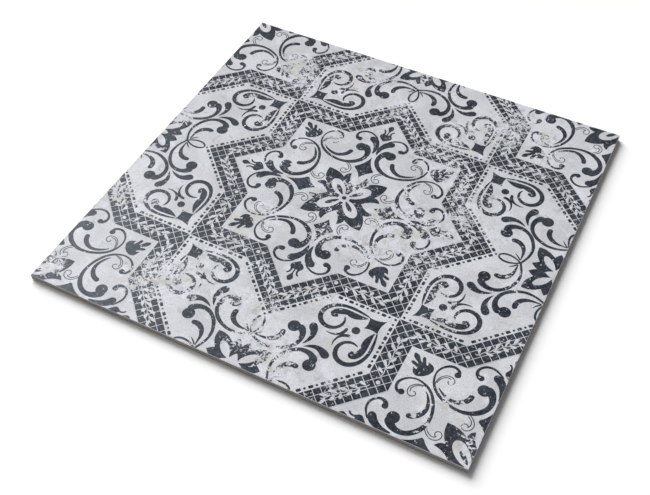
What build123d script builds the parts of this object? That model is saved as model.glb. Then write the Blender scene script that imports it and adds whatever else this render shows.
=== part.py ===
"""A square, rectified porcelain floor tile: a flat glazed face, ground edges and a keyed back."""

import os

from build123d import *

# Driving dimensions, in millimetres. The tile lies flat: back on Z = 0, glazed face up, centred on X = Y = 0.
TILE_SIDE = 600.0
TILE_THICKNESS = 9.0

# Ground edges: the small arris round the face, the wider bevel round the back, the clipped upright corners.
FACE_ARRIS = 0.6
BACK_BEVEL = 1.2
CORNER_CLIP = 0.6

# Keyed back: a waffle of drafted pockets that the press leaves between ribs, for the adhesive to grip.
# The field of pockets is as large as fits inside a plain border.
BACK_BORDER = 20.0
POCKET_SIDE = 26.0
RIB_WIDTH = 5.0
POCKET_DEPTH = 0.8
POCKET_DRAFT = 40.0
POCKET_CORNER_CLIP = 2.5

pocket_pitch = POCKET_SIDE + RIB_WIDTH
pockets_per_side = int((TILE_SIDE - 2 * BACK_BORDER + RIB_WIDTH) // pocket_pitch)

with BuildPart() as porcelain_tile:
    # The slab, with the arris round its glazed face and the bevel round its back.
    with BuildSketch(Plane.XY):
        Rectangle(TILE_SIDE, TILE_SIDE)
    extrude(amount=TILE_THICKNESS)
    glazed_face = porcelain_tile.faces().sort_by(Axis.Z)[-1]
    chamfer(glazed_face.edges(), length=FACE_ARRIS)
    back_face = porcelain_tile.faces().sort_by(Axis.Z)[0]
    chamfer(back_face.edges(), length=BACK_BEVEL)

    # The four upright corners, ground off by the same plan from back to face.
    with BuildSketch(Plane.XY):
        plan = Rectangle(TILE_SIDE, TILE_SIDE)
        chamfer(plan.vertices(), length=CORNER_CLIP)
    extrude(amount=TILE_THICKNESS, mode=Mode.INTERSECT)

    # The keying pockets: eight-sided mouths on the back, narrowing by the draft to their floors.
    with BuildSketch(Plane.XY):
        with GridLocations(pocket_pitch, pocket_pitch, pockets_per_side, pockets_per_side):
            mouths = Rectangle(POCKET_SIDE, POCKET_SIDE)
        chamfer(mouths.vertices(), length=POCKET_CORNER_CLIP)
    extrude(amount=POCKET_DEPTH, taper=POCKET_DRAFT, mode=Mode.SUBTRACT)

porcelain_tile.part.label = "porcelain_tile"

os.makedirs("parts", exist_ok=True)
export_step(porcelain_tile.part, "parts/porcelain_tile.step")
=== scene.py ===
"""Finish of a square porcelain tile: a pale mottled glaze, a worn star-and-cross print, ground edges and
a raw back.

The print is a thin fired film on the glazed face. Its shapes are drawn flat, in millimetres, in the frame of
one pattern cell, and repeated over the face. World units are metres.
"""

import bmesh
import bpy
import numpy as np
from mathutils import Matrix, Vector


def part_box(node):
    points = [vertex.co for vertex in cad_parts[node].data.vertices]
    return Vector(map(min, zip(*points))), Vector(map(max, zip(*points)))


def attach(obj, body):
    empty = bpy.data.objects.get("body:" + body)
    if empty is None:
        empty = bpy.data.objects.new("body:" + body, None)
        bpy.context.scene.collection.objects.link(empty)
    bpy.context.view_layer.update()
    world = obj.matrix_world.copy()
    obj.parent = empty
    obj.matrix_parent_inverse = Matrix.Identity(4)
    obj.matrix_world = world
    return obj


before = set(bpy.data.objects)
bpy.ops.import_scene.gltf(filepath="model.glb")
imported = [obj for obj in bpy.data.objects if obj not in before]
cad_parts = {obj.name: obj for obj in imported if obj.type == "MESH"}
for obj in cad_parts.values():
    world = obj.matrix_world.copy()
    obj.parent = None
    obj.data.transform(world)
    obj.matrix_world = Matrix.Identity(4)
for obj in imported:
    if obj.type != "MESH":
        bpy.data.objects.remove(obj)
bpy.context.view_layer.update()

face_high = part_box("porcelain_tile")[1]
MM = 0.001
FACE_TOP = face_high[2]
FACE_ARRIS = 0.6
HALF_PRINT = face_high[0] / MM - FACE_ARRIS

# The pattern repeats on a diagonal grid: a star in each cell, a cross between four of them, and the whole
# print lies a little off the tile's centre. All in millimetres.
CELL = 304.8
PRINT_CENTRE = np.array([-2.5, 4.1])
STEPS_PER_CELL = 21
LATTICE_STEP = CELL / STEPS_PER_CELL
LATTICE_LINE = 0.8
BAND_OUT = CELL / 2
BAND_IN = BAND_OUT - 2 * LATTICE_STEP - LATTICE_LINE
BAND_MID = (BAND_IN + BAND_OUT) / 2
NOTCH_SHARE = np.sqrt(2) - 1
DASH_LINE = BAND_OUT + 3.8
BEAD_RADIUS = 1.6
NOTCH_BEAD_RADIUS = 2.7

# Heights of the printed films above the glaze, with a small step between shapes that cross. From there each
# film reaches down into the glaze by its depth. Points of a film nearer than the merge distance become one.
INK_RISE = 0.04
RESERVE_RISE = 0.07
DETAIL_RISE = 0.10
LEVEL_STEP = 0.008
FILM_DEPTH = 0.12
MERGE_DISTANCE = 0.002

# How a stroke is sampled: its fewest points, the length that adds one more, and how much they crowd towards
# both ends. Between its round tips a stroke keeps the least half-width, and each tip ends at a blunt share of
# its own.
FEWEST_POINTS = 18
POINT_SPACING = 2.2
CROWDING = 0.6
LEAST_HALF_WIDTH = 0.05
BLUNT_TIP = 0.02


def smooth_line(rows):
    """A smooth line through given rows of place and half-width.

    Between two rows it is the cubic whose slope at each row is that of the parabola through its neighbours,
    taken over the length of the chords. Samples crowd towards both ends, where the tips are round.
    """
    rows = np.asarray(rows, float)
    chords = np.hypot(*np.diff(rows[:, :2], axis=0).T)
    run = np.concatenate([[0.0], np.cumsum(chords)])
    slope = np.gradient(rows, run, axis=0, edge_order=2 if len(rows) > 2 else 1)
    turn = np.linspace(0, np.pi, int(FEWEST_POINTS + run[-1] / POINT_SPACING))
    at = run[-1] * (CROWDING / 2 * (1 - np.cos(turn)) + (1 - CROWDING) * turn / np.pi)
    i = np.clip(np.searchsorted(run, at, side="right") - 1, 0, len(run) - 2)
    span = (run[i + 1] - run[i])[:, None]
    u = (at - run[i])[:, None] / span
    return ((1 + 2 * u) * (1 - u) ** 2 * rows[i] + u * (1 - u) ** 2 * span * slope[i]
            + u * u * (3 - 2 * u) * rows[i + 1] + u * u * (u - 1) * span * slope[i + 1])


def strip(left, right, level=0, soft=(0.0, 0.0)):
    """The surface ruled between two edges of as many points, one quad to each step. Soft says how easily the
    print wears along either edge."""
    n = len(left)
    k = np.arange(n - 1)
    quads = np.column_stack([k, k + 1, k + 1 + n, k + n])
    return np.concatenate([left, right]), quads, level, np.repeat(soft, n)


def stroke(rows, level=0):
    """A brush stroke: a smooth centre line with the edge one half-width to either side, and a round tip at
    each end, where the half-width follows a circle of the end's own half-width."""
    line = smooth_line(rows)
    place, half = line[:, :2], np.maximum(line[:, 2], LEAST_HALF_WIDTH)
    along = np.gradient(place, axis=0)
    along /= np.linalg.norm(along, axis=1, keepdims=True)
    across = np.column_stack([-along[:, 1], along[:, 0]])
    walked = np.concatenate([[0.0], np.cumsum(np.linalg.norm(np.diff(place, axis=0), axis=1))])
    for reach, tip in ((walked, half[0]), (walked[-1] - walked, half[-1])):
        short = np.clip(1 - reach / tip, 0, 1)
        half = half * np.sqrt(np.maximum(1 - short ** 2, BLUNT_TIP ** 2))
    return strip(place - half[:, None] * across, place + half[:, None] * across, level)


def bead(x, y, radius, level=0):
    """A round spot: a stroke as long as it is wide."""
    return stroke([(x - radius, y, radius), (x + radius, y, radius)], level)


def bows(corners, sags, steps=9):
    """An outline of bowed sides: between two corners, the chord plus a parabola whose middle stands off by
    the sag, to the left of the way from one to the next."""
    corners = np.asarray(corners, float)
    chord = np.diff(corners, axis=0)
    u = np.linspace(0, 1, steps, endpoint=False)[None, :, None]
    left = np.column_stack([-chord[:, 1], chord[:, 0]]) / np.linalg.norm(chord, axis=1, keepdims=True)
    bow = 4 * u * (1 - u) * np.asarray(sags, float)[:, None, None]
    line = corners[:-1, None] + u * chord[:, None] + bow * left[:, None]
    return np.concatenate([line.reshape(-1, 2), corners[-1:]])


def patch(corners, sags, pole, level=0):
    """A closed area of bowed sides, filled by lines from a pole inside it to its outline."""
    outline = bows(corners, sags)
    return strip(np.repeat(np.array([pole], float), len(outline), axis=0), outline, level)


def octagram(half_side):
    """The sixteen corners of two squares of this half-side crossed at 45 degrees, tips and notches in turn,
    and the first of them again."""
    k = np.arange(17)
    reach = np.where(k % 2 == 0, half_side * np.sqrt(2), half_side / np.cos(np.pi / 8))
    return np.column_stack([reach * np.cos(k * np.pi / 8), reach * np.sin(k * np.pi / 8)])


def lattice_lines(slope, level):
    """Lines of one slope, a lattice step apart, where they cross the star's band: sorted along a line, the
    places where it meets the two octagrams pair up into the stretches that lie inside the band. A nudge
    keeps the lines off the octagrams' corners."""
    nudge = 1e-4
    rings = [octagram(BAND_IN), octagram(BAND_OUT)]
    a = np.concatenate([ring[:-1] for ring in rings])
    b = np.concatenate([ring[1:] for ring in rings])
    reach = int(2 * BAND_OUT / LATTICE_STEP)
    offsets = (np.arange(1 - reach, reach) * LATTICE_STEP + nudge) / np.sqrt(2)
    along = np.array([1.0, slope]) / np.sqrt(2)
    across = np.array([-along[1], along[0]])
    off_a = a @ across - offsets[:, None]
    off_b = b @ across - offsets[:, None]
    meets = (off_a < 0) != (off_b < 0)
    share = np.where(meets, off_a / np.where(meets, off_a - off_b, 1), 0)
    place = np.sort(np.where(meets, a @ along + share * ((b - a) @ along), np.inf), axis=1)
    start, stop = place[:, 0::2], place[:, 1::2]
    inside = np.isfinite(stop)
    line = np.repeat(offsets[:, None], start.shape[1], axis=1)[inside]
    ends = np.column_stack([start[inside], stop[inside], stop[inside], start[inside]])
    side = line[:, None] + LATTICE_LINE / 2 * np.array([-1, -1, 1, 1])
    corners = ends[..., None] * along + side[..., None] * across
    count = len(corners) * 4
    return corners.reshape(-1, 2), np.arange(count).reshape(-1, 4), level, np.zeros(count)


def vine():
    """A waving stem in the middle of the band, from a notch to a tip of the upright square, with leaves to
    either side that open towards the tip. Each leaf is set by how far along the stem it starts and ends, and
    how far out its tip lies; its form is rows of the share along, the share out and the half-width."""
    foot = np.array([BAND_MID * NOTCH_SHARE, BAND_MID, 0.0])
    stem_start, stem_end, stem_rows = 10.0, 71.0, 14
    wave, half_wave, stem_half_width = 0.8, 6.1, 0.5
    run = np.linspace(stem_start, stem_end, stem_rows)
    sway = wave * np.cos((run - stem_start) * np.pi / half_wave)
    lines = [np.column_stack([run, sway, np.full(stem_rows, stem_half_width)])]
    leaves = [(14.5, 20.2, 7.9), (24.5, 33.0, 6.2), (36.0, 45.6, 6.2), (49.0, 59.2, 7.7), (60.0, 70.2, 5.2),
              (22.6, 30.0, -6.8), (32.0, 41.0, -4.9), (46.8, 49.8, -7.4), (53.8, 61.4, -5.2),
              (65.0, 74.2, -5.5)]
    leaf_form = [(0, 0.06, 0.4), (0.28, 0.40, 1.5), (0.64, 0.80, 1.95), (1, 1, 0.4)]
    for root, tip, out in leaves:
        lines.append([(root + share * (tip - root), rise * out, half) for share, rise, half in leaf_form])
    turned = [(np.asarray(line, float) + foot)[:, [1, 0, 2]] for line in lines]
    return [stroke(line, 1 + k % 3) for k, line in enumerate(turned)]


def dash(x, y, lean):
    """A short bar whose four sides bulge a little, turned from upright by the lean in degrees."""
    long_half, wide_half, bulge = 2.8, 1.8, -0.25
    along = np.array([-np.sin(np.radians(lean)), np.cos(np.radians(lean))]) * long_half
    across = np.array([along[1], -along[0]]) * wide_half / long_half
    ways = [-along - across, -along + across, along + across, along - across, -along - across]
    return patch(np.array([x, y]) + ways, [bulge] * 4, (x, y))


def dash_line():
    """Beads and dashes by turns, a little outside the band, along one eighth of the star: along the upright
    side from near its corner to the notch, and along the slanting side from its tip to the notch."""
    upright_start, upright_step, upright_count = 140, 7.44, 10
    slant_step, slant_count = 7.6 / np.sqrt(2), 11
    end_bead = BAND_OUT - 4.2
    tip = DASH_LINE * np.sqrt(2)
    shapes = [bead(DASH_LINE, end_bead, BEAD_RADIUS)]
    for k in range(upright_count):
        y = upright_start - k * upright_step
        shapes.append(bead(DASH_LINE, y, BEAD_RADIUS) if k % 2 == 0 else dash(DASH_LINE, y, 0))
    for k in range(1, slant_count + 1):
        x, y = tip - k * slant_step, k * slant_step
        shapes.append(bead(x, y, BEAD_RADIUS) if k % 2 == 0 else dash(x, y, 45))
    return shapes


def star_scrolls():
    """One eighth of the star's scrollwork: the great C-scroll with its ball, the comma inside it, the
    acanthus comma by the axis and the curl that springs from it."""
    return [
        stroke([(105.4, 22.5, 5.2), (104.6, 17.6, 6.0), (101.4, 13.2, 5.2), (96.4, 10.2, 4.2), (90, 9, 3.5),
                (83, 10.2, 3.2), (76.5, 14, 3.3), (71, 19.8, 3.2), (67, 27, 2.8), (64.8, 36, 2.3),
                (64.9, 45, 2.0), (67, 54.5, 2.0), (71, 64, 2.0), (76.5, 72, 1.8), (84, 78, 1.6),
                (92, 81.2, 1.3), (100, 81.9, 1.2), (107, 79.9, 1.3), (112.9, 75.5, 1.5), (116.7, 69.5, 1.8),
                (117, 63.5, 1.8), (114.3, 58.6, 2.0), (110.5, 56.9, 2.4)]),
        bead(102.7, 23, 7.9, 1),
        bead(108.6, 58.2, 4.0, 1),
        stroke([(91.2, 32.6, 3.3), (84, 34, 3.4), (78, 38.5, 3.2), (74, 45, 2.8), (73, 51, 2.4),
                (74.2, 57.5, 2.0), (76.8, 63.5, 1.6), (80, 68.3, 1.0), (83.3, 71.6, 0.3)]),
        stroke([(96.8, 3.0, 0.7), (104, 2.8, 2.4), (111, 3.6, 3.6), (117.5, 6.4, 4.6), (123, 10.8, 5.4),
                (125.9, 19.6, 4.4)]),
        stroke([(128, 8.3, 1.0), (133, 15, 1.3), (136, 22.5, 1.5), (135.6, 29.5, 1.6), (132, 35.6, 1.7),
                (126.5, 39, 1.8), (121.5, 38.8, 2.2), (117.9, 36, 3.0), (117, 31.5, 3.4)], 1),
        bead(117.2, 32.2, 3.9, 2),
    ]


def fine_curls():
    """One eighth of the star's thin double outlines: two small crooks, each an outer and an inner line."""
    half_width = 0.62
    lines = [
        [(65.5, 26.5), (62, 21.3), (57.5, 17.8), (52.3, 16.6), (47.3, 18.6), (44.2, 22.8), (44.5, 27),
         (47.4, 29.6), (51, 28.6), (52.4, 25.4), (51, 22.6), (48.8, 22.4)],
        [(63, 27.5), (60, 23.2), (56, 20.6), (52, 20.6), (49.6, 22.4)],
        [(84, 77), (91.5, 77.2), (98.5, 74), (102.8, 67.5), (102.2, 61.3), (98.6, 57.8), (94.4, 58.6),
         (92.2, 61.7), (93.6, 64.6), (96.6, 64.9)],
        [(88, 76), (93.5, 74.8), (98.3, 71), (100.2, 66.6), (99.4, 62.8)],
    ]
    return [stroke([(x, y, half_width) for x, y in line], k) for k, line in enumerate(lines)]


def star_flowers():
    """One eighth of the star's solid figures: the centre flower, the pointed lozenge, the tulip and the
    palmette."""
    return [
        patch([(8, 0), (26, 0), (48, 11.3), (37, 18.6), (44.8, 44.8), (8, 8), (8, 0)],
              [0, 2.6, -2.0, -2.6, 0, 0], (33, 16)),
        patch([(44.5, 0), (61.2, 14.2), (63.4, 14.2), (90.5, 0), (44.5, 0)], [-1.6, -0.3, -2.8, 0],
              (62, 1.0)),
        patch([(126.5, 0), (134.2, 8.7), (141.5, 6.0), (141.5, 0), (126.5, 0)], [0.3, 1.6, 0, 0],
              (135, 1.0)),
        stroke([(139, 6.0, 2.4), (143.5, 4.6, 1.4), (147.5, 5.2, 1.2), (150.6, 8.6, 1.3)], 1),
        patch([(91.4, 91.4), (97.5, 87.2), (103.5, 86.3), (108.6, 92.0), (109.9, 96.2), (104.9, 94.8),
               (104.6, 98.6), (104, 104), (91.4, 91.4)], [-0.5, -0.7, -1.1, -0.3, 0.5, -0.2, 0, 0],
              (100.5, 91)),
        stroke([(99, 96.5, 3.4), (104.5, 99.3, 2.7), (108.3, 100.7, 2.2), (111.3, 101.7, 2.2),
                (113.3, 102.5, 1.8), (114.9, 103.2, 0.5)], 1),
    ]


def cross_scrolls():
    """One eighth of the cross's scrollwork: the tendril that crosses its mirror image, its ball, the comma
    and the thorn inside it, half of the loop on the axis and the plump leaf."""
    return [
        stroke([(-2, 51, 1.5), (5, 47.8, 1.5), (13, 44.6, 1.6), (22, 43.1, 1.9), (30, 43.5, 2.1),
                (38, 46.2, 2.3), (46, 50.6, 2.6), (52.2, 56.5, 2.5), (56.4, 64, 2.8), (57.6, 71.5, 3.2),
                (56.2, 78.6, 3.8), (51.5, 84.6, 5.0), (46, 86.2, 6.0)], 1),
        bead(41.5, 84.2, 8.2, 2),
        stroke([(32.2, 74, 3.0), (33.3, 66, 3.6), (30.2, 59.2, 3.4), (25, 55, 2.9), (18.5, 52.7, 2.0),
                (12, 52.2, 1.3), (4, 51.8, 0.6)], 3),
        stroke([(4, 52.5, 1.0), (8.5, 56.5, 1.0), (12.5, 62, 0.3)], 4),
        stroke([(0, 50.5, 1.2), (3.4, 56, 1.2), (5.6, 62, 1.3), (6.4, 68, 1.5), (5.4, 74, 1.5),
                (2.8, 78.4, 1.3), (0, 79.8, 1.2)], 5),
        stroke([(65.5, 62.3, 0.2), (73, 66.4, 2.0), (80, 68.1, 3.0), (87, 67.0, 4.2), (93, 63.7, 5.3),
                (98.5, 59.2, 4.0)]),
    ]


def hearts():
    """Half of the heart in the cross's arm: the outer volute, the two leaves of the inner one with its eye,
    and the sprig that crosses its mirror image."""
    return [
        stroke([(137.2, 119, 0.8), (139, 110, 1.4), (140.3, 100, 1.9), (140.6, 90, 2.1), (139, 80.4, 2.3),
                (134.8, 71.4, 2.7), (128, 64.7, 3.1), (120, 61.9, 3.2), (112, 63.2, 3.2), (105.3, 68.4, 3.1),
                (102.3, 76, 2.8), (102.9, 83, 2.6), (106.4, 89, 2.2), (112, 92.6, 2.0), (118.3, 93.3, 1.5),
                (122.5, 92, 1.0), (125.2, 90.6, 0.3)], 1),
        stroke([(134.9, 118.3, 0.3), (132.8, 112, 2.3), (131.4, 105, 4.1), (131.1, 98, 4.6),
                (131.3, 92, 3.8), (128.6, 88.8, 0.6)], 2),
        stroke([(134, 104, 1.4), (133.4, 96, 2.6), (131.6, 88, 4.2), (129.6, 81.5, 4.4), (126.6, 76.4, 3.4),
                (122.8, 74.2, 2.2), (119.9, 76.6, 1.6), (120.3, 79.6, 1.6)], 3),
        bead(121.9, 80.2, 2.5, 4),
        stroke([(95.2, 79, 0.3), (94.6, 85.5, 1.0), (96.3, 92.5, 1.5), (99.6, 97.2, 2.0), (104, 99.9, 2.2),
                (110.4, 100.8, 2.0)]),
    ]


def cross_flowers():
    """One eighth of the cross's solid figures: the rosette at its centre and the star that points the
    heart."""
    return [
        patch([(8.5, 8.5), (8.8, 5.2), (17, 0), (28, 0), (37.2, 6.8), (28, 13.6), (36.9, 36.9), (8.5, 8.5)],
              [0, 0.6, 0, -0.6, -0.6, -3.4, 0], (28, 12)),
        patch([(119.3, 119.3), (137.4, 118.8), (141, 141), (119.3, 119.3)], [1.8, 2.0, 0], (130, 126)),
    ]


def turns(mirrored):
    """The ways a square cell repeats a part of itself: four quarter turns, and their mirror images."""
    quarter = np.array([[0.0, -1.0], [1.0, 0.0]])
    whole = np.array([np.linalg.matrix_power(quarter, k) for k in range(4)])
    swap = np.array([[0.0, 1.0], [1.0, 0.0]])
    return np.concatenate([whole, whole @ swap]) if mirrored else whole


STAR_CELLS = PRINT_CENTRE + CELL * np.array([(0, 0), (1, 1), (1, -1), (-1, 1), (-1, -1)])
CROSS_CELLS = PRINT_CENTRE + CELL * np.array([(1, 0), (-1, 0), (0, 1), (0, -1)])
EIGHTHS = turns(mirrored=True)
QUARTERS = turns(mirrored=False)
WHOLE = EIGHTHS[:1]

# The crossed squares of the star's band also mirror each other about the line through a notch.
HALF_TURN = np.sqrt(0.5)
NOTCH_MIRROR = np.array([[HALF_TURN, HALF_TURN], [HALF_TURN, -HALF_TURN]])
SIXTEENTHS = np.concatenate([EIGHTHS, EIGHTHS @ NOTCH_MIRROR])


def copies_on_face(shape, cells, ways, rise):
    """Every copy of a shape that reaches the face: places in millimetres, quads that face up, and softness.
    A shape of level 0 joins its mirror images; others lie half a level from them."""
    outline, quads, level, soft = shape
    copies = np.einsum("tij,nj->tni", ways, outline)[None] + cells[:, None, None]
    copies = copies.reshape(-1, len(outline), 2)
    on_face = ((copies.min(axis=1) < HALF_PRINT) & (copies.max(axis=1) > -HALF_PRINT)).all(axis=1)
    copies = copies[on_face]
    flipped = np.tile(np.linalg.det(ways) < 0, len(cells))[on_face] & (level > 0)
    height = FACE_TOP / MM + rise + (level + 0.5 * flipped) * LEVEL_STEP
    height = np.broadcast_to(height[:, None, None], copies.shape[:2] + (1,))
    corners = copies[:, quads]
    one, two = corners[:, :, 2] - corners[:, :, 0], corners[:, :, 3] - corners[:, :, 1]
    faces_down = one[..., 0] * two[..., 1] < one[..., 1] * two[..., 0]
    index = quads + len(outline) * np.arange(len(copies))[:, None, None]
    index = np.where(faces_down[..., None], index[..., ::-1], index)
    places = np.concatenate([copies, height], axis=2)
    return places.reshape(-1, 3), index.reshape(-1, 4), np.tile(soft, len(copies))


def cut_to_print(mesh):
    """Merges the doubles of a mesh and cuts it off at the edge of the printed square."""
    work = bmesh.new()
    work.from_mesh(mesh)
    bmesh.ops.remove_doubles(work, verts=work.verts, dist=MERGE_DISTANCE * MM)
    bmesh.ops.dissolve_degenerate(work, edges=work.edges, dist=MERGE_DISTANCE * MM)
    for normal in ((1, 0, 0), (-1, 0, 0), (0, 1, 0), (0, -1, 0)):
        bmesh.ops.bisect_plane(work, geom=work.verts[:] + work.edges[:] + work.faces[:], plane_no=normal,
                               plane_co=[HALF_PRINT * MM * axis for axis in normal], clear_outer=True)
    work.to_mesh(mesh)
    work.free()


def map_from_above(mesh):
    """Gives a mesh its own map: the face seen from above, 0 to 1 over the tile's side."""
    spots = np.empty(len(mesh.loops), np.int32)
    mesh.loops.foreach_get("vertex_index", spots)
    places = np.empty(len(mesh.vertices) * 3)
    mesh.vertices.foreach_get("co", places)
    across_face = places.reshape(-1, 3)[spots, :2] / (2 * face_high[0]) + 0.5
    mesh.uv_layers.new(name="OFBake").data.foreach_set("uv", across_face.ravel())


def film_piece(name, groups, rise, material):
    """A printed film of groups of shapes, each with the cells and the ways that repeat it, given the film's
    thickness downwards."""
    places, faces, softness, count = [], [], [], 0
    for shapes, cells, ways in groups:
        for shape in shapes:
            more, quads, soft = copies_on_face(shape, cells, ways, rise)
            places.append(more)
            faces.append(quads + count)
            softness.append(soft)
            count += len(more)
    mesh = bpy.data.meshes.new(name)
    mesh.from_pydata(np.concatenate(places) * MM, [], np.concatenate(faces))
    mesh.attributes.new("softness", "FLOAT", "POINT").data.foreach_set("value", np.concatenate(softness))
    cut_to_print(mesh)
    map_from_above(mesh)
    mesh.materials.append(material)
    piece = bpy.data.objects.new(name, mesh)
    bpy.context.scene.collection.objects.link(piece)
    film = piece.modifiers.new("film", "SOLIDIFY")
    film.thickness = FILM_DEPTH * MM
    film.offset = -1
    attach(piece, "root")


def srgb(red, green, blue):
    """A colour written as screen values from 0 to 255, as the linear colour that a shader takes."""
    share = np.array([red, green, blue]) / 255
    linear = np.where(share <= 0.04045, share / 12.92, ((share + 0.055) / 1.055) ** 2.4)
    return (*linear.tolist(), 1.0)


def grey(level):
    """A linear grey, above 1 where it brightens what it is multiplied with."""
    return (level, level, level, 1.0)


def add_node(tree, kind, settings=(), inputs=()):
    """A node of this kind with its settings. Each input, by name or number, is joined to a socket or given a
    value."""
    made = tree.nodes.new("ShaderNode" + kind)
    for name, value in dict(settings).items():
        setattr(made, name, value)
    for name, value in dict(inputs).items():
        if isinstance(value, bpy.types.NodeSocket):
            tree.links.new(value, made.inputs[name])
        else:
            made.inputs[name].default_value = value
    return made


def calc(tree, operation, *values):
    """The result of an operation on numbers."""
    return add_node(tree, "Math", {"operation": operation}, enumerate(values)).outputs[0]


def vector_calc(tree, operation, *values):
    """The result of an operation on vectors, which for a distance is a number."""
    made = add_node(tree, "VectorMath", {"operation": operation}, enumerate(values))
    return made.outputs["Value" if operation == "DISTANCE" else "Vector"]


def blend(tree, share, under, over, how="MIX"):
    """A share of one colour laid over another."""
    settings = {"data_type": "RGBA", "blend_type": how}
    return add_node(tree, "Mix", settings, {0: share, 6: under, 7: over}).outputs[2]


def ramp(tree, value, start, end, low=0.0, high=1.0):
    """A smooth step from low to high as the value goes from start to end."""
    steps = {0: value, 1: start, 2: end, 3: low, 4: high}
    return add_node(tree, "MapRange", {"interpolation_type": "SMOOTHSTEP"}, steps).outputs[0]


def cloud(tree, place, size, detail=2.0, rough=0.5, warp=0.0):
    """Cloudy noise about a mean of a half, whose largest features are about this many millimetres."""
    inputs = {"Vector": place, "Scale": 1 / size, "Detail": detail, "Roughness": rough, "Distortion": warp}
    return add_node(tree, "TexNoise", {}, inputs).outputs[0]


def new_group(name, inputs, outputs):
    """An empty node group with these named sockets, and its inner ends."""
    tree = bpy.data.node_groups.new(name, "ShaderNodeTree")
    for way, sockets in (("INPUT", inputs), ("OUTPUT", outputs)):
        for label, kind in sockets.items():
            tree.interface.new_socket(label, in_out=way, socket_type="NodeSocket" + kind)
    return tree, tree.nodes.new("NodeGroupInput").outputs, tree.nodes.new("NodeGroupOutput").inputs


def use_group(tree, group, **inputs):
    """The outputs of a node group, given its inputs."""
    return add_node(tree, "Group", {"node_tree": group}, inputs).outputs


def new_material(name):
    """A material with its shader, and the place on the object in millimetres."""
    made = bpy.data.materials.new(name)
    made.use_nodes = True
    tree = made.node_tree
    shader = tree.nodes["Principled BSDF"]
    where = add_node(tree, "TexCoord").outputs["Object"]
    return made, tree, shader, vector_calc(tree, "MULTIPLY", where, (1 / MM, 1 / MM, 1 / MM))


def add_bump(tree, shader, relief, strength, distance):
    """The relief as a bump of this many metres in the shader's normal."""
    bump = add_node(tree, "Bump", {}, {"Strength": strength, "Distance": distance, "Height": relief})
    tree.links.new(bump.outputs[0], shader.inputs["Normal"])


# Places where feet have worn the print: middle of the patch on the face, its radius and how worn it is.
WORN_PATCHES = [
    (-196, 226, 34, 1.00), (-176, 203, 28, 0.90), (-156, 198, 22, 0.75), (-143, 277, 22, 0.45),
    (-212, 172, 18, 0.50), (-222, 135, 16, 0.45), (-105, 214, 24, 0.60), (-78, 259, 28, 0.85),
    (-52, 262, 18, 0.65), (-10, 210, 20, 0.78), (-6, 284, 18, 0.60), (38, 277, 18, 0.50),
    (143, 226, 34, 0.90), (170, 262, 30, 0.90), (108, 214, 24, 0.80), (130, 245, 24, 0.70),
    (200, 240, 24, 0.75), (222, 215, 22, 0.70), (74, 210, 18, 0.70), (62, 138, 22, 0.60),
    (88, 172, 26, 0.80), (52, 172, 16, 0.45), (108, 122, 22, 0.70), (166, 86, 30, 0.68),
    (134, 84, 24, 0.68), (152, 48, 24, 0.75), (-166, 92, 26, 0.50), (-130, 70, 28, 0.58),
    (-70, 108, 20, 0.70), (-258, 152, 16, 0.35), (-292, 44, 22, 1.00), (3, 34, 22, 0.90),
    (-20, 24, 16, 0.60), (-8, -18, 20, 0.45), (78, 54, 22, 0.75), (96, 20, 26, 0.85),
    (124, 14, 22, 0.68), (64, 12, 16, 0.75), (66, -22, 22, 0.75), (90, 104, 16, 0.50),
    (4, -70, 22, 0.80), (36, -66, 22, 0.80), (68, -70, 26, 0.92), (98, -36, 28, 0.80),
    (116, -16, 24, 0.70), (122, -46, 26, 0.62), (156, -58, 22, 0.62), (178, -88, 24, 0.75),
    (198, -124, 22, 0.70), (-86, -70, 22, 0.80), (-108, 8, 18, 0.35), (258, -30, 20, 0.42),
    (262, 128, 14, 0.35), (-278, -122, 28, 0.72), (-240, -124, 22, 0.60), (-143, -224, 36, 0.95),
    (-176, -244, 26, 0.72), (-124, -210, 24, 0.90), (-112, -230, 22, 0.95), (-98, -198, 18, 0.80),
    (-110, -186, 22, 0.90), (-98, -160, 18, 0.80), (-190, -246, 18, 0.55), (-48, -214, 20, 0.80),
    (-2, -206, 20, 0.70), (0, -228, 24, 0.95), (26, -246, 20, 0.80), (44, -252, 18, 0.95),
    (34, -264, 26, 1.00), (-12, -264, 16, 0.75), (54, -168, 20, 0.65), (250, -226, 22, 0.62),
    (-290, -272, 24, 0.88), (292, -270, 22, 0.62), (232, -262, 16, 0.45), (118, -268, 18, 0.50),
    (-34, 0, 22, 0.50), (200, 40, 26, 0.50), (-120, 30, 24, 0.45), (-100, -120, 20, 0.45),
    (150, 0, 24, 0.60), (-226, 205, 18, 0.50), (-130, 230, 20, 0.55), (-292, -30, 18, 0.45),
    (-60, -165, 18, 0.50), (52, -284, 20, 0.90),
]

# A worn patch is full out to the core share of its radius and gone at the rim share. Slow noise of this size
# moves its outline by up to the drift, in millimetres.
PATCH_CORE = 0.2
PATCH_RIM = 1.7
DRIFT = 8.0
DRIFT_SIZE = 18.0

# How far softness counts as wear, how far wear lifts each noise, and the limits that the lifted noise passes.
# Crumbs of the print hold on where the small noise stays below its own limits.
SOFTNESS_EASE = 0.12
TORN_LIFT = 0.190
TORN_LIMITS = (0.641, 0.659)
FLECK_LIFT = 0.115
FLECK_LIMITS = (0.670, 0.698)
CRUMB_LIMITS = (0.42, 0.45)


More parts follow.
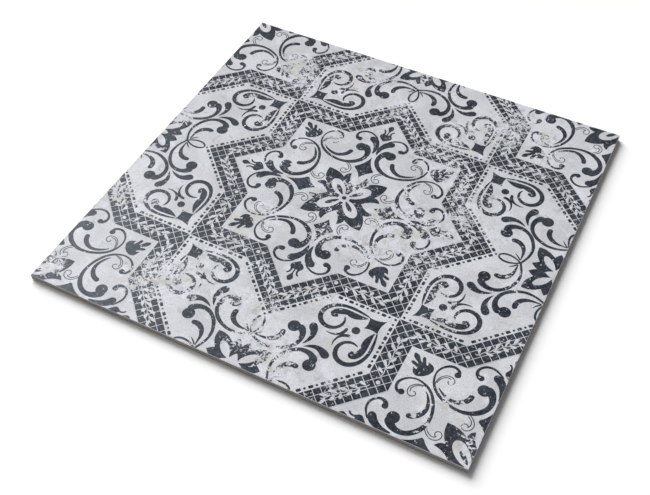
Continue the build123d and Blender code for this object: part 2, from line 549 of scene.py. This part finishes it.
def field_group():
    """How strongly a place has been walked on: the highest of the worn patches there, whose outlines are
    bent by slow noise."""
    tree, given, result = new_group("worn field", {"Place": "Vector"}, {"Field": "Float"})
    place = given["Place"]
    noise = {"Vector": place, "Scale": 1 / DRIFT_SIZE, "Detail": 3.0}
    drift = add_node(tree, "TexNoise", {}, noise).outputs["Color"]
    moved = vector_calc(tree, "MULTIPLY_ADD", drift, (2 * DRIFT, 2 * DRIFT, 0.0), place)
    moved = vector_calc(tree, "SUBTRACT", moved, (DRIFT, DRIFT, 0.0))
    field = 0.0
    for x, y, radius, strength in WORN_PATCHES:
        away = vector_calc(tree, "DISTANCE", moved, (float(x), float(y), 0.0))
        worn = ramp(tree, away, radius * PATCH_RIM, radius * PATCH_CORE, low=0.0, high=strength)
        field = calc(tree, "MAXIMUM", worn, field)
    tree.links.new(field, result["Field"])
    return tree


def wear_group():
    """Where the print has worn off: torn blotches and small flecks, each a noise that passes a limit. The
    worn field and the print's own softness lift both noises. Crumbs of the print hold on even there, and
    have faded in spots."""
    tree, given, result = new_group("print wear", {"Place": "Vector", "Field": "Float", "Softness": "Float"},
                                    {"Worn": "Float", "Faded": "Float"})
    place = given["Place"]
    spots = ramp(tree, cloud(tree, place, size=5.0, detail=4.0, rough=0.7), 0.42, 0.62)
    fading = ramp(tree, given["Field"], 0.2, 0.9, low=0.04, high=0.38)
    tree.links.new(calc(tree, "MULTIPLY", fading, spots), result["Faded"])
    ease = calc(tree, "MULTIPLY_ADD", given["Softness"], SOFTNESS_EASE, given["Field"])
    large = cloud(tree, place, size=9.0, detail=5.0, rough=0.65, warp=0.9)
    torn = ramp(tree, calc(tree, "MULTIPLY_ADD", ease, TORN_LIFT, large), *TORN_LIMITS)
    small = cloud(tree, place, size=3.8, detail=3.0, rough=0.60, warp=0.6)
    flecks = ramp(tree, calc(tree, "MULTIPLY_ADD", ease, FLECK_LIFT, small), *FLECK_LIMITS)
    worn = calc(tree, "MAXIMUM", torn, flecks)
    tree.links.new(calc(tree, "MULTIPLY", worn, ramp(tree, small, *CRUMB_LIMITS)), result["Worn"])
    return tree


def ground_group():
    """The pale glaze: slow mottling, white patches, warm stains, grey smoke, a fine grain and scuffs. Where
    it has been walked on it is whiter, with more stains and scuffs."""
    tree, given, result = new_group("pale glaze", {"Place": "Vector", "Field": "Float"},
                                    {"Color": "Color", "Height": "Float"})
    place, field = given["Place"], given["Field"]
    full_tint = 0.8

    def tint(under, over, start, end, push, **noise):
        """A colour over the highest places of a cloud, which the worn field makes larger."""
        lifted = calc(tree, "MULTIPLY_ADD", field, push, cloud(tree, place, **noise))
        share = calc(tree, "MULTIPLY", ramp(tree, lifted, start, end), full_tint)
        return blend(tree, share, under, over)

    mottling = ramp(tree, cloud(tree, place, size=60.0, detail=4.0, rough=0.6), 0.35, 0.65)
    tone = blend(tree, mottling, srgb(192, 193, 198), srgb(209, 210, 215))
    tone = tint(tone, srgb(215, 217, 225), 0.52, 0.72, 0.20, size=24.0, detail=4.0, rough=0.6, warp=0.3)
    tone = tint(tone, srgb(196, 192, 186), 0.53, 0.74, 0.07, size=36.0, detail=6.0, rough=0.7, warp=0.4)
    tone = tint(tone, srgb(164, 164, 166), 0.52, 0.72, 0.06, size=15.0, detail=7.0, rough=0.75, warp=0.5)
    grain = cloud(tree, place, size=1.6, detail=3.0, rough=0.7)
    shade = blend(tree, ramp(tree, grain, 0.3, 0.7), grey(0.80), grey(1.12))
    tone = blend(tree, 1.0, tone, shade, "MULTIPLY")
    tone = tint(tone, srgb(134, 133, 134), 0.60, 0.68, 0.04, size=5.0, detail=8.0, rough=0.8, warp=0.8)
    tree.links.new(tone, result["Color"])
    height = calc(tree, "ADD", calc(tree, "MULTIPLY", grain, 0.4), cloud(tree, place, size=4.5))
    tree.links.new(height, result["Height"])
    return tree


FIELD = field_group()
WEAR = wear_group()
GROUND = ground_group()
ON_FACE = (1.0, 1.0, 0.0)

# The glaze is matt: it mirrors little, and softly. On the arris, where it has pooled, it mirrors more. The
# bare body is rough.
GLOSS = 0.42
SHEEN = 0.10
RIM_GLOSS = 0.3
RIM_INDEX = 1.8
BODY_ROUGHNESS = 0.85
FADED_INK = srgb(112, 115, 122)

# Heights on the tile, in millimetres, between which one finish goes over into the next: the ribs of the back
# into the powder on its pockets' floors, the back into the edges, the edges into the glaze, and the face into
# its bright rim.
POWDER_HEIGHTS = (0.2, 0.75)
BACK_HEIGHTS = (1.0, 1.3)
GLAZE_HEIGHTS = (8.40, 8.60)
RIM_HEIGHTS = (8.98, 8.88)


def body_tones(tree, place):
    """The bare porcelain: a sandy grey body with fine dark and pale grains of crushed feldspar. The ground
    edges are browner and streaked lengthwise by the wheel; the back is paler, dusty, and soft with release
    powder in its pockets."""
    grains = cloud(tree, place, size=0.9, detail=2.0, rough=0.6)
    speck = blend(tree, ramp(tree, grains, 0.38, 0.62), grey(0.82), grey(1.1))
    stretched = vector_calc(tree, "MULTIPLY", place, (0.02, 0.02, 2.2))
    streaks = cloud(tree, stretched, size=1.0, detail=4.0, rough=0.7)
    edge = blend(tree, ramp(tree, streaks, 0.3, 0.7), srgb(138, 131, 127), srgb(164, 157, 152))
    dust = cloud(tree, place, size=30.0, detail=5.0, rough=0.65)
    back = blend(tree, ramp(tree, dust, 0.3, 0.7), srgb(170, 164, 155), srgb(196, 190, 180))
    height = add_node(tree, "SeparateXYZ", {}, {0: place}).outputs[2]
    back = blend(tree, ramp(tree, height, *POWDER_HEIGHTS), back, srgb(206, 202, 194))
    body = blend(tree, ramp(tree, height, *BACK_HEIGHTS), back, edge)
    return blend(tree, 1.0, body, speck, "MULTIPLY"), height, grains


def tile_material():
    """The tile: pale glaze on the face, pooled and bright on the arris, and the bare body of the edges and
    the back below it."""
    made, tree, shader, place = new_material("glazed_porcelain")
    body, height, grains = body_tones(tree, place)
    flat = vector_calc(tree, "MULTIPLY", place, ON_FACE)
    glaze = use_group(tree, GROUND, Place=flat, Field=use_group(tree, FIELD, Place=flat)["Field"])
    glazed = ramp(tree, height, *GLAZE_HEIGHTS)
    tree.links.new(blend(tree, glazed, body, glaze["Color"]), shader.inputs["Base Color"])
    roughness = ramp(tree, glazed, 0.0, 1.0, low=BODY_ROUGHNESS, high=GLOSS)
    tree.links.new(roughness, shader.inputs["Roughness"])
    rim = calc(tree, "MULTIPLY", glazed, ramp(tree, height, *RIM_HEIGHTS))
    tree.links.new(rim, shader.inputs["Coat Weight"])
    shader.inputs["Coat Roughness"].default_value = RIM_GLOSS
    shader.inputs["Coat IOR"].default_value = RIM_INDEX
    shader.inputs["Specular IOR Level"].default_value = SHEEN
    relief = calc(tree, "MULTIPLY", glaze["Height"], glazed)
    relief = calc(tree, "ADD", relief, calc(tree, "MULTIPLY", grains, 0.6))
    add_bump(tree, shader, relief, strength=0.25, distance=0.00004)
    return made


def ink_material(name, dark, light):
    """Fired ink over the pale glaze: it mottles between two tones, and the glaze shows where it has worn
    off."""
    made, tree, shader, place = new_material(name)
    flat = vector_calc(tree, "MULTIPLY", place, ON_FACE)
    field = use_group(tree, FIELD, Place=flat)["Field"]
    glaze = use_group(tree, GROUND, Place=flat, Field=field)
    softness = add_node(tree, "Attribute", {"attribute_name": "softness"}).outputs["Fac"]
    wear = use_group(tree, WEAR, Place=flat, Field=field, Softness=softness)
    slow = cloud(tree, flat, size=30.0, detail=3.0, rough=0.6)
    mottle = calc(tree, "MULTIPLY_ADD", slow, 0.5, cloud(tree, flat, size=4.0, detail=5.0, rough=0.75))
    tone = blend(tree, ramp(tree, mottle, 0.57, 0.93), dark, light)
    tone = blend(tree, wear["Faded"], tone, FADED_INK)
    tree.links.new(blend(tree, wear["Worn"], tone, glaze["Color"]), shader.inputs["Base Color"])
    relief = calc(tree, "SUBTRACT", calc(tree, "MULTIPLY", glaze["Height"], 0.7), wear["Worn"])
    add_bump(tree, shader, relief, strength=0.3, distance=0.00003)
    shader.inputs["Roughness"].default_value = GLOSS
    shader.inputs["Specular IOR Level"].default_value = SHEEN
    return made


GLAZE = tile_material()
INK = ink_material("printed_ink", srgb(20, 24, 31), srgb(62, 67, 77))
FINE_INK = ink_material("thin_printed_ink", srgb(44, 48, 56), srgb(78, 82, 90))

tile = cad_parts["porcelain_tile"]
tile.data.materials.clear()
tile.data.materials.append(GLAZE)

# The band's ink wears most easily along its middle.
bands = [strip(octagram(BAND_IN), octagram(BAND_MID), soft=(0.2, 1.0)),
         strip(octagram(BAND_MID), octagram(BAND_OUT), soft=(1.0, 0.2))]
lattice = [lattice_lines(1, level=0), lattice_lines(-1, level=1)]

# Shapes that lie on an axis of their cell, or at its centre.
notch_bead = [bead(BAND_MID, BAND_MID * NOTCH_SHARE, NOTCH_BEAD_RADIUS, 3)]
tip_bead = [bead(DASH_LINE * np.sqrt(2), 0, BEAD_RADIUS)]
heart_bead = [bead(111.9, 111.9, 5.4)]
centre_bead = [bead(0, 0, 3.3)]
petals = [stroke([(3, 3, 1.4), (7.5, 7.5, 6.0), (13.5, 13.5, 8.4), (19.5, 19.5, 8.6), (25, 25, 6.2),
                  (28, 28, 2.4)])]
stamens = [stroke([(139, 0, 1.2), (145, 0, 1.0), (149, 0, 1.1), (152, 0, 2.6), (156.5, 0, 4.2),
                   (161.5, 0, 1.0)], 2)]
fingers = [stroke([(98, 98, 4.0), (103.5, 103.5, 2.6), (106.5, 106.5, 2.2), (109, 109, 3.0),
                   (111.4, 111.4, 3.5), (113.6, 113.6, 2.6), (115.6, 115.6, 0.5)], 3)]
cross_petals = [stroke([(6.5, 6.5, 0.8), (11, 11, 3.8), (16, 16, 5.2), (21, 21, 4.6), (25.5, 25.5, 1.6)])]
seeds = [stroke([(5.2, 5.2, 0.6), (9, 9, 2.2), (13, 13, 2.9), (17, 17, 2.6), (19.8, 19.8, 0.8)])]

film_piece("print_bands", [(bands, STAR_CELLS, WHOLE)], INK_RISE, INK)
film_piece("print_lattice", [(lattice, STAR_CELLS, WHOLE)], RESERVE_RISE, GLAZE)
film_piece("print_vines", [(vine(), STAR_CELLS, SIXTEENTHS), (notch_bead, STAR_CELLS, EIGHTHS)],
           DETAIL_RISE, GLAZE)
film_piece("print_dashes", [(dash_line(), STAR_CELLS, EIGHTHS), (tip_bead, STAR_CELLS, QUARTERS)],
           INK_RISE, INK)
film_piece("print_scrolls", [(star_scrolls(), STAR_CELLS, EIGHTHS)], INK_RISE, INK)
film_piece("print_flowers",
           [(star_flowers(), STAR_CELLS, EIGHTHS), (stamens + fingers, STAR_CELLS, QUARTERS)],
           INK_RISE, INK)
film_piece("print_curls", [(fine_curls(), STAR_CELLS, EIGHTHS)], INK_RISE, FINE_INK)
film_piece("print_tendrils", [(cross_scrolls(), CROSS_CELLS, EIGHTHS)], INK_RISE, INK)
film_piece("print_hearts", [(hearts(), CROSS_CELLS, EIGHTHS), (heart_bead, CROSS_CELLS, QUARTERS)],
           INK_RISE, INK)
film_piece("print_rosettes", [(cross_flowers(), CROSS_CELLS, EIGHTHS)], INK_RISE, INK)
film_piece("print_petals", [(petals, STAR_CELLS, QUARTERS), (cross_petals, CROSS_CELLS, QUARTERS)],
           RESERVE_RISE, GLAZE)
film_piece("print_seeds", [(seeds, STAR_CELLS, QUARTERS), (centre_bead, STAR_CELLS, WHOLE)],
           DETAIL_RISE, INK)


# A white studio: white paper under a world that is white to the eye and a plain fill to the object. A trace
# of the paper's own light keeps it white where it is seen. Its reach each way is in metres.
PAPER_WHITE = 0.97
PAPER_GLOW = 0.03
WORLD_FILL = 0.108
FLOOR_REACH = 6.0


def seen_directly(tree):
    """One for the rays of the camera, of mirrors and of glass, and nought for all others."""
    rays = add_node(tree, "LightPath").outputs
    seen = calc(tree, "MAXIMUM", rays["Is Camera Ray"], rays["Is Glossy Ray"])
    return calc(tree, "MAXIMUM", seen, rays["Is Transmission Ray"])


def paper_material():
    """White paper that takes shadows."""
    made = bpy.data.materials.new("white_paper")
    made.use_nodes = True
    tree = made.node_tree
    tree.nodes.clear()
    matt = add_node(tree, "BsdfDiffuse", {}, {"Color": grey(PAPER_WHITE)}).outputs[0]
    glow = calc(tree, "MULTIPLY", seen_directly(tree), PAPER_GLOW)
    glow = add_node(tree, "Emission", {}, {"Strength": glow}).outputs[0]
    both = add_node(tree, "AddShader", {}, {0: matt, 1: glow}).outputs[0]
    add_node(tree, "OutputMaterial", {}, {"Surface": both})
    return made


floor_mesh = bpy.data.meshes.new("floor")
corners = [(x * FLOOR_REACH, y * FLOOR_REACH, 0.0) for x, y in ((-1, -1), (1, -1), (1, 1), (-1, 1))]
floor_mesh.from_pydata(corners, [], [(0, 1, 2, 3)])
floor_mesh.materials.append(paper_material())
floor = bpy.data.objects.new("floor", floor_mesh)
bpy.context.scene.collection.objects.link(floor)

world = bpy.data.worlds.new("studio")
bpy.context.scene.world = world
world.use_nodes = True
sky = world.node_tree
sky.nodes.clear()
steps = {0: seen_directly(sky), 1: 0.0, 2: 1.0, 3: WORLD_FILL, 4: 1.0}
level = add_node(sky, "MapRange", {}, steps).outputs[0]
white = add_node(sky, "Background", {}, {"Color": grey(1.0), "Strength": level}).outputs[0]
add_node(sky, "OutputWorld", {}, {"Surface": white})


def add_lamp(name, kind, place, power, **settings):
    """A lamp at a place, turned to the middle of the tile."""
    lamp = bpy.data.lights.new(name, kind)
    lamp.energy = power
    for key, value in settings.items():
        setattr(lamp, key, value)
    made = bpy.data.objects.new(name, lamp)
    bpy.context.scene.collection.objects.link(made)
    made.location = place
    made.rotation_euler = (-Vector(place)).to_track_quat("-Z", "Y").to_euler()
    return made


# A wide soft light from the back left gives the shadow, a weak one fills in from the front, and a card gives
# the glaze its sheen at the left corner.
key = add_lamp("soft_key", "SUN", (-1.32, 0.96, 1.00), 5.42, angle=np.radians(48))
key.visible_glossy = False
fill = add_lamp("front_fill", "AREA", (-0.20, -0.60, 1.00), 1.1, shape="SQUARE", size=0.6)
fill.visible_glossy = False
sheen = add_lamp("sheen_card", "AREA", (-0.98, 0.20, 0.93), 32.0, shape="SQUARE", size=0.8,
                 color=(0.92, 0.97, 1.0))
sheen.visible_diffuse = False

# The camera of the photograph, found from the four corners of the glazed face.
VIEW_FROM = Vector((0.38145, -0.79776, 0.94454))
VIEW_ALONG = Vector((-0.29781, 0.57728, -0.76031))
VIEW_UP = Vector((-0.34620, 0.67691, 0.64956))
LENS_MM = 51.98
SENSOR_MM = 36.0
camera_data = bpy.data.cameras.new("camera")
camera_data.lens = LENS_MM
camera_data.sensor_width = SENSOR_MM
camera = bpy.data.objects.new("camera", camera_data)
bpy.context.scene.collection.objects.link(camera)
turned = Matrix((VIEW_ALONG.cross(VIEW_UP), VIEW_UP, -VIEW_ALONG)).transposed()
camera.matrix_world = Matrix.Translation(VIEW_FROM) @ turned.to_4x4()
bpy.context.scene.camera = camera
bpy.context.scene.view_settings.view_transform = "Standard"
